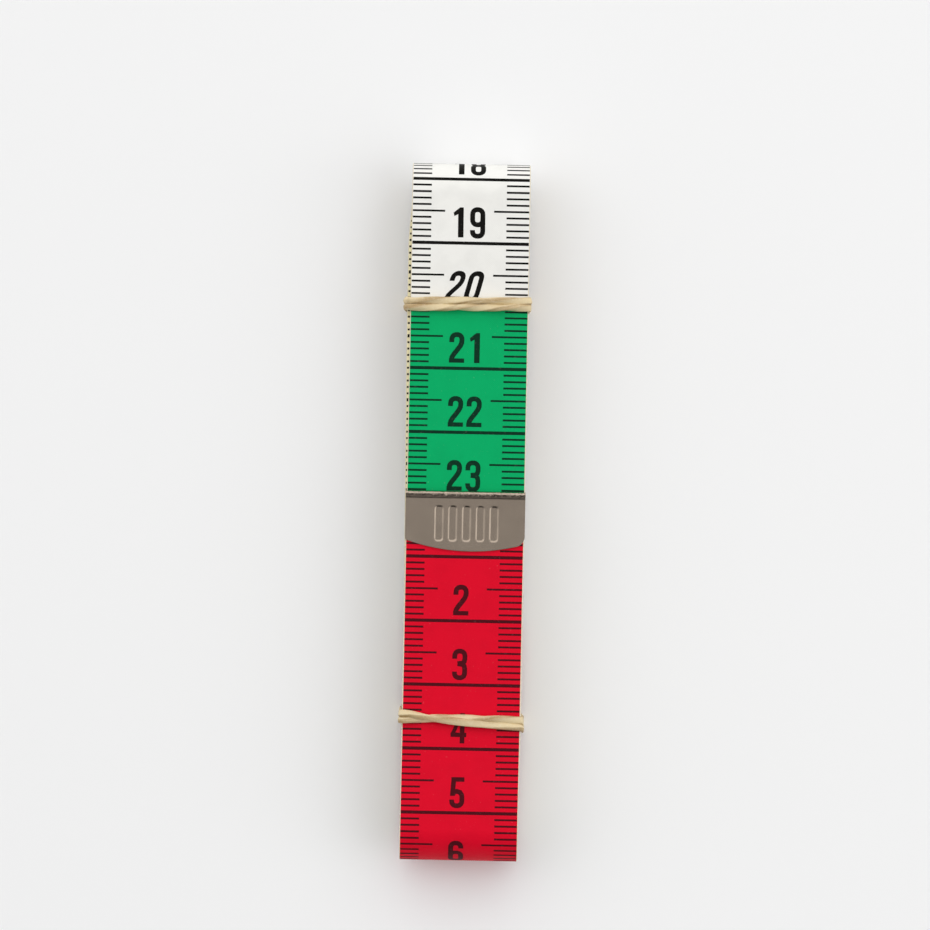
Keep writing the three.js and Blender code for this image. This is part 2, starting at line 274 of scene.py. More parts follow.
class Finish(Nodes):
    """A material under construction, with its Principled shader."""

    def __init__(self, name):
        self.material = bpy.data.materials.new(name)
        self.material.use_nodes = True
        super().__init__(self.material.node_tree)
        self.shader = self.tree.nodes["Principled BSDF"]

    def blend(self, factor, first, second):
        """Mixes two colours."""
        return self.node("ShaderNodeMix", {"data_type": "RGBA"}, {0: factor, 6: first, 7: second}, output=2)

    def object_place(self):
        return self.node("ShaderNodeTexCoord", {}, {}, output="Object")

    def noise(self, place, scale, detail=2.0, roughness=0.5):
        inputs = {"Vector": place, "Scale": scale, "Detail": detail, "Roughness": roughness}
        return self.node("ShaderNodeTexNoise", {}, inputs)

    def surface(self):
        """The piece's own UV map as two numbers: across and along."""
        place = self.node("ShaderNodeUVMap", {"uv_map": "Surface"}, {})
        parts = {"Vector": place}
        return (
            self.node("ShaderNodeSeparateXYZ", {}, parts, output="X"),
            self.node("ShaderNodeSeparateXYZ", {}, parts, output="Y"),
        )

    def stretched(self, across, along):
        return self.node("ShaderNodeCombineXYZ", {}, {"X": across, "Y": along})

    def bump(self, height, strength, distance, under=None):
        inputs = {"Height": height, "Strength": strength, "Distance": distance}
        if under:
            inputs["Normal"] = under
        return self.node("ShaderNodeBump", {}, inputs)

    def done(self, **inputs):
        for name, value in inputs.items():
            self.feed(self.shader.inputs[name.replace("_", " ")], value)
        return self.material


THREAD_DUST = (0.9, 0.88, 0.86)
FIBRE_SHADOW = (0.42, 0.33, 0.22)
THIN_INK = (0.35, 0.3, 0.28)
TARNISH = (0.42, 0.36, 0.29)
BAND_DUST = (0.9, 0.84, 0.72)
# Specular level of coated cloth and dry ink
DULL = 0.08


def rgba(shade):
    return (*shade, 1)


def weave(finish, tape, path_length):
    """Height of the threads, the place on the strip in metres, and the share of its length."""
    across, along = finish.surface()
    turn = 2 * math.pi
    warp = (across * (turn * tape.width / tape.thread)).sine()
    weft = (along * (turn * path_length / tape.thread)).sine()
    return warp * weft, finish.stretched(across * tape.width, along * path_length), along


def block_colour(finish, along, path_length, shades):
    """The colour of each 10 cm block, in an order that comes again every 50 cm."""
    share = (along * (path_length / (len(shades) * 0.1))).fraction()
    chosen = rgba(shades[0])
    for index, shade in enumerate(shades[1:], 1):
        chosen = finish.blend(share.past(index / len(shades)), chosen, rgba(shade))
    return chosen


def printed_cloth(tape, path_length):
    finish = Finish("printed_cloth")
    threads, place, along = weave(finish, tape, path_length)
    shades = (tape.red, tape.white, tape.green, tape.blue, tape.cream)
    ground = block_colour(finish, along, path_length, shades)
    cloudy = finish.noise(place, 260, 3.0)
    speckle = finish.noise(place, 2600, 2.0)
    shaded = finish.blend(((cloudy - 0.45) * 0.22).clamped(), ground, rgba((0, 0, 0)))
    worn = finish.blend(((speckle - 0.68) * 0.5).clamped(), shaded, rgba(THREAD_DUST))
    height = threads * 0.5 + finish.noise(place, 1500, 2.0)
    return finish.done(
        Base_Color=worn,
        Roughness=0.44 + cloudy * 0.2,
        Normal=finish.bump(height, 0.25, 0.04 * MM),
        Specular_IOR_Level=DULL,
    )


def white_reverse(tape, path_length):
    finish = Finish("white_reverse")
    threads, place, _ = weave(finish, tape, path_length)
    cloudy = finish.noise(place, 300, 3.0)
    shade = finish.blend((cloudy - 0.4) * 0.3, rgba(tape.reverse), rgba(tape.fibre))
    return finish.done(
        Base_Color=shade,
        Roughness=0.5 + cloudy * 0.2,
        Normal=finish.bump(threads * 0.5 + cloudy, 0.4, 0.04 * MM),
    )


def bare_fibre(tape):
    finish = Finish("bare_fibre")
    place = finish.object_place()
    speckle = finish.noise(place, 2800, 3.0, 0.7)
    shade = finish.blend((speckle * 1.6 - 0.75).clamped(), rgba(tape.fibre), rgba(FIBRE_SHADOW))
    return finish.done(
        Base_Color=shade,
        Roughness=0.75 + speckle * 0.2,
        Normal=finish.bump(speckle, 0.8, 0.1 * MM),
    )


def worn_ink(finish, ink, least, wear):
    """Ink that lets a little grey through where its cover is thin."""
    cover = finish.noise(finish.object_place(), 2400, 3.0, 0.6)
    return finish.done(
        Base_Color=finish.blend(((cover - least) * wear).clamped(), ink, rgba(THIN_INK)),
        Roughness=0.42 + cover * 0.2,
        Normal=finish.bump(cover, 0.3, 0.03 * MM),
        Specular_IOR_Level=DULL,
    )


def scale_ink(scale, path_length):
    finish = Finish("scale_ink")
    _, along = finish.surface()
    shades = (scale.on_red, scale.on_white, scale.on_green, scale.on_blue, scale.on_cream)
    return worn_ink(finish, block_colour(finish, along, path_length, shades), 0.6, 0.7)


def reverse_ink(scale):
    return worn_ink(Finish("reverse_ink"), rgba(scale.on_white), 0.55, 1.2)


def plated_metal(tip):
    finish = Finish("plated_metal")
    place = finish.object_place()
    drawn = finish.node("ShaderNodeMapping", {}, {"Vector": place, "Scale": (900, 9000, 4000)})
    brushed = finish.noise(drawn, 1.0, 3.0)
    mottle = finish.noise(place, 350, 4.0, 0.6)
    pits = finish.noise(place, 5200, 2.0)
    shade = finish.blend(((mottle - 0.4) * 0.35).clamped(), rgba(tip.metal), rgba(TARNISH))
    height = brushed * 0.5 + mottle * 0.5 + pits * 0.2
    # Scuffed along its fold
    _, along = finish.surface()
    scuffs = finish.noise(place, 3000, 1.0) * along.near(0.76, 0.09)
    return finish.done(
        Base_Color=shade,
        Metallic=1.0,
        Roughness=0.18 + mottle * 0.12,
        Normal=finish.bump(scuffs, 1.0, 0.1 * MM, finish.bump(height, 0.1, 0.05 * MM)),
    )


def natural_rubber(band):
    finish = Finish("natural_rubber")
    across, along = finish.surface()
    streaks = finish.noise(finish.stretched(across * 5, along * 22), 1.0, 4.0, 0.6)
    dust = finish.noise(finish.object_place(), 3500, 2.0)
    # Painted shade: two opposite faces of each strand are darker and turn with its twist, mixed with the
    # random streaks
    faces = (across * (4 * math.pi) + streaks * 2).sine() * 0.45
    shade = finish.blend(((streaks - 0.4) * 2.4 + faces).clamped(), rgba(band.rubber), rgba(band.dusk))
    dusty = finish.blend(((dust - 0.5) * 0.8).clamped(), shade, rgba(BAND_DUST))
    return finish.done(
        Base_Color=dusty,
        Roughness=0.4 + dust * 0.3,
        Normal=finish.bump(streaks * 2 + dust * 0.4, 0.5, 0.1 * MM),
    )


def smooth(share):
    share = min(max(share, 0.0), 1.0)
    return share * share * (3 - 2 * share)


def box_of(node):
    return [Vector(corner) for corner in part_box(node)]


class WoundPath:
    """The middle surface of the strip, by distance from the zero end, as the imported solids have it."""

    UPPER_SHARES = (0.05, -0.2, 0.05, 0, -0.5, -0.1, -0.3, -0.3, 0, 0.05, -0.2, 0, -0.4, 0.05, 0)
    LOWER_SHARES = (0.05, 0.1, 0.1, -0.05, 0.05, 0.1, 0, 0.05, 0.15, -0.1, -0.05, 0.1, 0, -0.1, 0.1)
    CRIMP_SHARE = 0.45

    def __init__(self, tape):
        low, high = box_of("tape_winding")
        half = tape.solid_thickness / 2
        bends = len(self.UPPER_SHARES) - 1
        self.tape = tape
        turns_inside = range(bends - 2, -1, -1)
        self.radii = [tape.core_spacing + turns * tape.turn_pitch / 2 for turns in turns_inside]
        self.radii.append(tape.core_spacing / 2)
        self.heights = [high.z - half]
        for bend, radius in enumerate(self.radii):
            self.heights.append(self.heights[-1] + (2 if bend % 2 else -2) * radius)
        self.middle_height = (self.heights[0] + self.heights[1]) / 2
        self.foot = low.y + half + self.radii[0]
        self.head = high.y - half - self.radii[1]
        self.zero = low.y + tape.zero_height
        self.upper_band = sum(corner.y for corner in box_of("upper_rubber_band")) / 2
        self.lower_band = sum(corner.y for corner in box_of("lower_rubber_band")) / 2
        joints = {joint["name"]: joint for joint in frame["record"]["behaviour"]["joints"]}
        self.lift = Vector(joints["free_end_lift"]["pos_m"])
        self.legs = []
        distance, y = 0.0, self.zero
        for index in range(bends + 1):
            down = index % 2 == 0
            end = self.foot if down else self.head
            if index == bends:
                end = y + (-tape.inner_run if down else tape.inner_run)
            self.legs.append((distance, False, index, y))
            distance += abs(end - y) + self.gathered(index, end)
            y = end
            if index < bends:
                self.legs.append((distance, True, index, y))
                distance += math.pi * self.radii[index]
        self.starts = [leg[0] for leg in self.legs]
        self.length = distance

    def gathered(self, index, y):
        """Cloth that a run has taken up in its dip by the time it reaches y."""
        if index != 2:
            return 0.0
        return self.tape.gather * smooth((self.upper_band - y) / self.tape.pinch_reach + 0.5)

    def sideways(self, index, y):
        upper = self.tape.wander * self.UPPER_SHARES[index]
        lower = self.tape.wander * self.LOWER_SHARES[index]
        if y > self.upper_band:
            return upper * smooth(2 * (self.head - y) / (self.head - self.upper_band))
        if y < self.lower_band:
            return lower * smooth((y - self.foot) / (self.lower_band - self.foot))
        share = smooth((y - self.lower_band) / (self.upper_band - self.lower_band))
        return lower + (upper - lower) * share

    def height(self, index, y):
        """Height of a run, with the free end's rise and the dip under the upper band."""
        height = self.heights[index]
        if index == 0:
            level = self.zero - self.tape.tip_length
            height += self.tape.tip_rise * smooth((y - self.lift.y) / (level - self.lift.y))
        above = (self.heights[index] - self.middle_height) / (self.heights[0] - self.middle_height)
        dip = math.exp(-(((y - self.upper_band) / self.tape.pinch_reach) ** 2))
        return height - self.tape.pinch * max(above, 0) * dip

    def middle(self, distance):
        """A point of the middle line and the direction that faces out of the winding there."""
        start, bent, index, y = self.legs[max(bisect_right(self.starts, distance) - 1, 0)]
        along = distance - start
        side = 1 if index % 2 == 0 else -1
        if bent:
            turn = along / self.radii[index]
            outward = Vector((0, -side * math.sin(turn), side * math.cos(turn)))
            centre = Vector((0, y, (self.heights[index] + self.heights[index + 1]) / 2))
            return centre + outward * self.radii[index], outward
        y -= side * along
        y += self.gathered(index, y + self.gathered(index, y))
        return Vector((self.sideways(index, y), y, self.height(index, y))), Vector((0, 0, side))

    def squeezed(self, distance):
        """Share of its thickness that the cloth keeps: less inside the crimped tips."""
        inside = self.tape.crimp_reach - min(distance, self.length - distance)
        return 1 - self.CRIMP_SHARE * smooth(inside / self.tape.crimp_ease)

    def place(self, distance, across, outwards, film=0.0):
        """A point so far across and out of the cloth, with a film that isn't squeezed on top."""
        point, outward = self.middle(distance)
        return point + X_AXIS * across + outward * (outwards * self.squeezed(distance) + film)

    def stations(self, start, end, run_step):
        marks = []
        for (leg_start, bent, _, _), leg_end in zip(self.legs, [*self.starts[1:], self.length]):
            first, last = max(leg_start, start), min(leg_end, end)
            if last > first:
                count = max(1, math.ceil((last - first) / (BEND_STEP if bent else run_step)))
                marks += [first + (last - first) * k / count for k in range(count)]
        return [*marks, end]

    def runs_at(self, y):
        """The place and height of each run that passes under a band."""
        for _, bent, index, _ in self.legs:
            reaches = index > 0 or y < self.zero
            reaches = reaches and (index < len(self.radii) or y > self.head - self.tape.inner_run)
            if not bent and reaches:
                yield self.sideways(index, y), self.height(index, y)


def mapped_grid(columns, rows, place, surface, slot=lambda column: 0):
    """A grid of so many columns and rows of faces, each vertex moved to its place."""
    bm = bmesh.new()
    uv = bm.loops.layers.uv.new("Surface")
    bmesh.ops.create_grid(bm, x_segments=columns, y_segments=rows, size=1)
    cells = {
        vert: (round((vert.co.x + 1) * columns / 2), round((vert.co.y + 1) * rows / 2)) for vert in bm.verts
    }
    for face in bm.faces:
        face.smooth = True
        face.material_index = slot(min(cells[vert][0] for vert in face.verts))
        for loop in face.loops:
            loop[uv].uv = surface(*cells[loop.vert])
    for vert, cell in cells.items():
        vert.co = place(*cell)
    return bm


def mesh_from(name, bm):
    mesh = bpy.data.meshes.new(name)
    bm.to_mesh(mesh)
    bm.free()
    return mesh


def linked_object(name, data):
    added = bpy.data.objects.new(name, data)
    bpy.context.scene.collection.objects.link(added)
    return added


def add_piece(name, bm, materials):
    """Turns a bmesh into a piece whose place is in its mesh."""
    piece = linked_object(name, mesh_from(name, bm))
    for material in materials:
        piece.data.materials.append(material)
    return piece


def close_skin(bm):
    bmesh.ops.remove_doubles(bm, verts=bm.verts, dist=1e-6)
    bmesh.ops.holes_fill(bm, edges=bm.edges, sides=0)
    bmesh.ops.recalc_face_normals(bm, faces=bm.faces)


def strip_section(tape):
    """The section's corners, each with the slot of the side after it: 0 print, 1 edge, 2 reverse."""
    half, flat = tape.width / 2, tape.thickness / 2
    bare, turned = half - tape.selvedge, half - tape.selvedge / 2
    eased, shoulder = half - tape.selvedge / 4, flat - tape.shoulder
    edge = [(turned, flat), (eased, shoulder), (half, 0), (eased, -shoulder), (turned, -flat)]
    right_side = [(across, up, 1) for across, up in edge]
    left_side = [(-across, -up, 1) for across, up in edge]
    front = [(-bare, flat, 0), *((across * MM, flat, 0) for across in (-6, -2, 2, 6)), (bare, flat, 1)]
    back = [(bare, -flat, 2), (0, -flat, 2), (-bare, -flat, 1)]
    return [*front, *right_side, *back, *left_side]


def strip_piece(name, path, start, end, run_step, materials):
    tape = path.tape
    section = strip_section(tape)
    stations = path.stations(start, end, run_step)

    def place(column, row):
        across, outwards, _ = section[column % len(section)]
        return path.place(stations[row], across, outwards)

    def surface(column, row):
        return section[column % len(section)][0] / tape.width + 0.5, stations[row] / path.length

    bm = mapped_grid(len(section), len(stations) - 1, place, surface, lambda column: section[column][2])
    close_skin(bm)
    return add_piece(name, bm, materials)


def seam_distance(path):
    """Where the free end's piece meets the winding's, out of sight under the lower band."""
    return path.zero - path.lower_band


def lift_blend(piece):
    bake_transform(piece)


def squared(angle, power):
    """A point of a circle of radius 1, moved out towards a square."""
    return [math.copysign(abs(share) ** power, share) for share in (math.cos(angle), math.sin(angle))]


def arc(x, y, across, up, start, end, steps=9):
    """Points of a slightly squared bow."""
    angles = (math.radians(start + (end - start) * k / steps) for k in range(steps + 1))
    bow = (squared(angle, 0.86) for angle in angles)
    return [(x + across * right, y + up * above) for right, above in bow]


def ribbon(points, width=0.76):
    """Four-sided patches along a pen stroke. A stroke that ends where it starts is closed."""
    line = [Vector(point) for point in points]
    closed = (line[0] - line[-1]).length < 1e-4
    count = len(line)
    sides = []
    for k, point in enumerate(line):
        before = line[k - 1] if k else (line[-2] if closed else point)
        after = line[k + 1] if k < count - 1 else (line[1] if closed else point)
        parts = [step.normalized() for step in (point - before, after - point) if step.length > 1e-6]
        heading = sum(parts, Vector((0, 0))).normalized()
        reach = width / 2 / heading.dot(parts[0])
        aside = Vector((-heading.y, heading.x)) * reach
        sides.append((point + aside, point - aside))
    return [
        [right, next_right, next_left, left]
        for (left, right), (next_left, next_right) in zip(sides, sides[1:])
    ]


# Millimetres in a figure: its height when turned over, the height that a slant leaves in place, and its cuts
TURNED_HEIGHT = 4.63
SLANT_HEIGHT = 3.8
CUT = 0.5
# Full tens lean to the right, and numbers of three figures are narrower
TENS_SLANT = 0.266
HUNDREDS_WIDTH = 0.8


def patch(*points):
    return [[Vector(point) for point in points]]


def turned_over(patches):
    """The same figure upside down."""
    return [[Vector((-point.x, TURNED_HEIGHT - point.y)) for point in corners] for corners in patches]


def closed_round(top, bottom, half_width, up):
    """A closed ring with straight sides and rounded ends."""
    ends = arc(0, top - up, half_width, up, 0, 180) + arc(0, bottom + up, half_width, up, 180, 360)
    return ribbon([*ends, ends[0]])


HOOK = arc(0, 1.05, 0.8, 0.82, 0, -180) + [(-0.8, 1.18)]
CROWN = [(-0.8, 3.2), *arc(0, 3.58, 0.8, 0.82, 180, 0)]
NINE = closed_round(4.4, 2.02, 0.8, 0.82) + ribbon([(0.8, 3.5), *HOOK])
# Figures of a condensed upright hand, in millimetres, drawn about the middle of their cell
FIGURES = {
    "0": closed_round(4.4, 0.23, 0.8, 0.82),
    "1": patch(
        (-0.16, 0), (0.7, 0), (0.7, 4.7), (0.14, 4.7), (-0.88, 3.86), (-0.74, 3.32), (-0.16, 3.64)
    ),
    "2": ribbon([*CROWN, (0.76, 3.12), (0.56, 2.66), (0.1, 2.02), (-0.42, 1.36), (-0.72, 0.86), (-0.8, 0.3)])
    + patch((-1.19, 0), (1.19, 0), (1.19, 0.67), (-1.19, 0.67)),
    "3": ribbon([*CROWN, (0.8, 3.2), (0.7, 2.76), (0.42, 2.52), (-0.34, 2.45)], 0.74)
    + ribbon([(-0.34, 2.42), (0.45, 2.34), (0.72, 2.05), (0.8, 1.6), *HOOK], 0.74),
    "4": patch((0.24, 0), (0.96, 0), (0.96, 4.7), (0.24, 4.7))
    + patch((-1.2, 0.98), (1.24, 0.98), (1.24, 1.66), (-1.2, 1.66))
    + patch((-1.2, 1.5), (-0.52, 1.5), (0.3, 3.5), (0.3, 4.7)),
    "5": patch((-0.9, 4.0), (1.12, 4.0), (1.12, 4.7), (-0.9, 4.7))
    + patch((-1.06, 1.78), (-0.34, 1.78), (-0.16, 4.2), (-0.9, 4.2))
    + ribbon(
        [(-0.66, 2.0), (-0.45, 2.34), (-0.05, 2.5), (0.48, 2.34), (0.75, 1.95), (0.8, 1.5), *HOOK], 0.74
    ),
    "6": turned_over(NINE),
    "7": patch((-1.19, 4.0), (1.19, 4.0), (1.19, 4.7), (-1.19, 4.7))
    + ribbon([(0.8, 4.3), (0.64, 3.5), (0.24, 2.3), (-0.06, 1.15), (-0.16, 0)], 0.8),
    "8": closed_round(4.4, 2.48, 0.73, 0.68) + closed_round(2.46, 0.23, 0.8, 0.76),
    "9": NINE,
}


def cut_across(bm, y, least, keep=0):
    """Cuts a flat print across at y. It keeps what is above for 1, what is below for -1, or both."""
    bmesh.ops.bisect_plane(
        bm,
        geom=[*bm.verts, *bm.edges, *bm.faces],
        dist=least,
        plane_co=(0, y, 0),
        plane_no=(0, keep or 1, 0),
        clear_inner=keep != 0,
    )


def figure_mesh(figure, slant):
    """A flat figure in metres, its overlapping strokes made one and cut across every half millimetre."""
    points, faces = [], []
    for corners in FIGURES[figure]:
        faces.append(range(len(points), len(points) + len(corners)))
        points += [Vector((corner.x + slant * (corner.y - SLANT_HEIGHT), corner.y)) for corner in corners]
    outcome = delaunay_2d_cdt(points, [], [list(face) for face in faces], 1, 1e-4, True)
    merged, _, triangles, _, _, origins = outcome
    bm = bmesh.new()
    verts = [bm.verts.new((point.x, point.y, 0)) for point in merged]
    for triangle, origin in zip(triangles, origins):
        if origin:
            bm.faces.new([verts[index] for index in triangle])
    bmesh.ops.delete(bm, geom=[vert for vert in bm.verts if not vert.link_faces], context="VERTS")
    bmesh.ops.dissolve_limit(bm, angle_limit=0.02, verts=bm.verts, edges=bm.edges)
    for k in range(10):
        cut_across(bm, k * CUT, 1e-4)
    bmesh.ops.triangulate(bm, faces=bm.faces)
    bmesh.ops.scale(bm, vec=(MM, MM, MM), verts=bm.verts)
    return mesh_from(f"figure_{figure}", bm)


def stamp(bm, mesh, matrix):
    """Adds a copy of a flat mesh to the print."""
    mesh.transform(matrix)
    bm.from_mesh(mesh)
    mesh.transform(matrix.inverted())


def centimetre_mesh(tape, scale):
    """One centimetre line with the nine ticks past it, towards the zero end."""
    edge, half = tape.width / 2 - scale.margin, tape.width / 2
    bm = bmesh.new()

    def bar(left, right, up, thickness, segments):
        size = Matrix.Diagonal((right - left, thickness, 1, 1))
        at = Matrix.Translation(((left + right) / 2, up, 0))
        bmesh.ops.create_grid(bm, x_segments=segments, y_segments=1, size=0.5, matrix=at @ size)

    bar(-edge, edge, 0, scale.line, 6)
    for step in range(1, 10):
        middle = step == 5
        bar(-edge, -half + (scale.left_half if middle else scale.left_tick), step * MM, scale.tick, 1)
        bar(half - (scale.right_half if middle else scale.right_tick), edge, step * MM, scale.tick, 1)
    return mesh_from("centimetre", bm)


def flat_print(tape, scale, numbers):
    """The print laid flat: X across the strip, and down the strip as the numbers rise."""
    bm = bmesh.new()
    centimetre = centimetre_mesh(tape, scale)
    figures = {}
    for number in numbers:
        down = -number * 10 * MM
        stamp(bm, centimetre, Matrix.Translation((0, down, 0)))
        text = str(number)
        slant = 0 if number % 10 else TENS_SLANT
        narrow = HUNDREDS_WIDTH if len(text) > 2 else 1
        for k, figure in enumerate(text):
            if (figure, slant) not in figures:
                figures[figure, slant] = figure_mesh(figure, slant)
            across = scale.shift + (k - (len(text) - 1) / 2) * scale.advance * narrow
            at = Matrix.Translation((across, down + scale.base, 0))
            stamp(bm, figures[figure, slant], at @ Matrix.Diagonal((narrow, 1, 1, 1)))
    for mesh in (centimetre, *figures.values()):
        bpy.data.meshes.remove(mesh)
    return bm


def laid_print(name, numbers, path, scale, start, end, side, material):
    """The print of a stretch of the strip, on its front for side 1 and on its reverse for -1."""
    bm = flat_print(path.tape, scale, numbers)
    uv = bm.loops.layers.uv.new("Surface")
    # The scale on the reverse begins at the far end
    origin = 0 if side > 0 else path.length
    for edge_distance, keep in ((start, -side), (end, side)):
        heights = [vert.co.y for vert in bm.verts]
        y = (origin - edge_distance) * side
        if min(heights) < y < max(heights):
            cut_across(bm, y, 1e-7, keep)
    for face in bm.faces:
        face.smooth = True
        for loop in face.loops:
            distance = origin - side * loop.vert.co.y
            loop[uv].uv = (loop.vert.co.x / path.tape.width + 0.5, distance / path.length)
    surface, film = side * path.tape.thickness / 2, side * scale.film
    for vert in bm.verts:
        vert.co = path.place(origin - side * vert.co.y, vert.co.x, surface, film)
    return add_piece(name, bm, [material])


class TAPE_OT_strip(Operator):
    """Build the wound strip and its free end"""

    bl_idname = "tape_measure.strip"
    bl_label = "Wound Strip"

    def execute(self, context):
        tape = context.scene.tape_strip
        path = WoundPath(tape)
        materials = [printed_cloth(tape, path.length), bare_fibre(tape), white_reverse(tape, path.length)]
        seam = seam_distance(path)
        above_seam, below_seam = seam - SEAM_GAP, seam + SEAM_GAP
        far_end = path.length - END_COVER
        winding = strip_piece("wound_strip", path, below_seam, far_end, RUN_STEP, materials)
        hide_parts("tape_winding")
        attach(winding, "winding")
        free_end = strip_piece("free_end_strip", path, END_COVER, above_seam, FREE_STEP, materials)
        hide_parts("tape_free_end")
        lift_blend(free_end)
        return {"FINISHED"}


class TAPE_OT_scale(Operator):
    """Print the centimetre scale on the strip"""

    bl_idname = "tape_measure.scale"
    bl_label = "Printed Scale"

    def execute(self, context):
        scale = context.scene.tape_scale
        path = WoundPath(context.scene.tape_strip)
        seam = seam_distance(path)
        last = round(path.length * 100)
        ink, black = scale_ink(scale, path.length), reverse_ink(scale)
        on_winding = laid_print(
            "winding_scale", range(4, last), path, scale, seam + SEAM_GAP, path.length, 1, ink
        )
        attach(on_winding, "winding")
        on_free_end = laid_print("free_end_scale", range(1, 5), path, scale, 0.0, seam - SEAM_GAP, 1, ink)
        lift_blend(on_free_end)
        on_reverse = laid_print(
            "free_end_reverse_scale", range(last - 3, last), path, scale, 0.0, seam - SEAM_GAP, -1, black
        )
        lift_blend(on_reverse)
        return {"FINISHED"}


COLUMN_WIDTH = 0.14 * MM
FLATTENED_FOLD = 0.6
# Stretches below the fold in which its bulge and its dents run out
FOLD_FADE, DENT_FADE = 0.8 * MM, 0.5 * MM
# Depth of the unevenness of the sheet, and of the dents along the fold
UNEVEN, DENTS = 0.02 * MM, 0.07 * MM


def tip_columns(tip):
    """Places across a tip, closer together round its two lower corners."""
    half = tip.width / 2
    steps = 8
    left = [-half + tip.left_corner * (1 - math.cos(math.pi / 2 * k / steps)) for k in range(steps)]
    right = [half - tip.right_corner * (1 - math.sin(math.pi / 2 * k / steps)) for k in range(1, steps + 1)]
    first, last = -half + tip.left_corner, half - tip.right_corner
    count = round((last - first) / COLUMN_WIDTH)
    return [*left, *(first + (last - first) * k / count for k in range(count + 1)), *right]


def tip_edge(tip, across):
    """How far below the fold the lower edge lies: a shallow bow with a rounded corner at each side."""
    half = tip.width / 2
    bow = tip.middle_height - tip.side_height
    radius = (half * half + bow * bow) / (2 * bow)
    depth = tip.middle_height - radius + math.sqrt(radius * radius - (across - tip.skew) ** 2)
    corner = tip.right_corner if across > 0 else tip.left_corner
    past = max(abs(across) - (half - corner), 0)
    return depth - (corner - math.sqrt(max(corner * corner - past * past, 0)))


def stamped_depth(tip, across, down):
    """Five upright grooves with flat floors, stamped into the front face."""
    depth = 0
    for k in range(-2, 3):
        off_side = max(abs(across - tip.groove_shift - tip.groove_pitch * k) - tip.floor_half, 0)
        off_end = max(abs(down - tip.groove_down) - tip.groove_half, 0)
        off_floor = math.hypot(off_side, off_end) - tip.floor_round
        depth = max(depth, smooth(1 - off_floor / tip.groove_slope))
    return tip.stamp_depth * depth


def tip_piece(name, tip, place_in_frame, material):
    """Sheet folded over the end of the cloth: front face, rolled fold and back face."""
    columns = tip_columns(tip)
    middle = tip.half_depth - tip.sheet / 2
    rolled = middle + tip.roll
    start = rolled * FLATTENED_FOLD + tip.sheet / 2
    front, fold, back = 72, 12, 16
    rows = front + fold + back

    def face(across, share, front_face):
        edge = tip_edge(tip, across)
        down = edge + (start - edge) * share
        bulge = tip.roll * smooth(1 - (down - start) / FOLD_FADE)
        pressed = stamped_depth(tip, across, down) if front_face else 0
        return -down, middle + bulge - pressed

    def place(column, row):
        across = columns[column]
        if row <= front:
            y, z = face(across, row / front, True)
        elif row < front + fold:
            turn = math.pi / 2 - math.pi * (row - front) / fold
            y, z = -start + rolled * FLATTENED_FOLD * math.cos(turn), rolled * math.sin(turn)
        else:
            y, z = face(across, 1 - (row - front - fold) / back, False)
            z = -z
        near_fold = smooth(1 + (y + start) / DENT_FADE)
        uneven = UNEVEN * noise.noise(Vector((across, y, z)) * 500)
        uneven += DENTS * near_fold * noise.noise(Vector((across * 3, y, z)) * 900)
        return place_in_frame @ Vector((across, y, z + uneven))

    bm = mapped_grid(
        len(columns) - 1, rows, place, lambda column, row: (column / len(columns), row / rows)
    )
    bmesh.ops.recalc_face_normals(bm, faces=bm.faces)
    piece = add_piece(name, bm, [material])
    wall = piece.modifiers.new("wall", "SOLIDIFY")
    wall.thickness = tip.sheet
    wall.offset = 0
    wall.use_even_offset = True
    eased = piece.modifiers.new("eased_edges", "BEVEL")
    eased.width = 0.09 * MM
    eased.segments = 3
    eased.limit_method = "ANGLE"
    eased.angle_limit = math.radians(50)
    return piece


class TAPE_OT_tips(Operator):
    """Build the metal tips on both ends"""

    bl_idname = "tape_measure.tips"
    bl_label = "Metal Tips"

    def execute(self, context):
        tip = context.scene.tape_tips
        metal = plated_metal(tip)
        low, high = box_of("outer_end_tip")
        middle = (low + high) / 2
        at_zero = Matrix.Translation((middle.x, high.y + tip.overhang, middle.z))
        outer = tip_piece("zero_end_tip", tip, at_zero, metal)
        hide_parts("outer_end_tip")
        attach(outer, "free_end")
        low, high = box_of("inner_end_tip")
        middle = (low + high) / 2
        at_far_end = Matrix.Translation((middle.x, low.y, middle.z)) @ Matrix.Rotation(math.pi, 4, "Z")
        inner = tip_piece("far_end_tip", tip, at_far_end, metal)
        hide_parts("inner_end_tip")
        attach(inner, "winding")
        return {"FINISHED"}


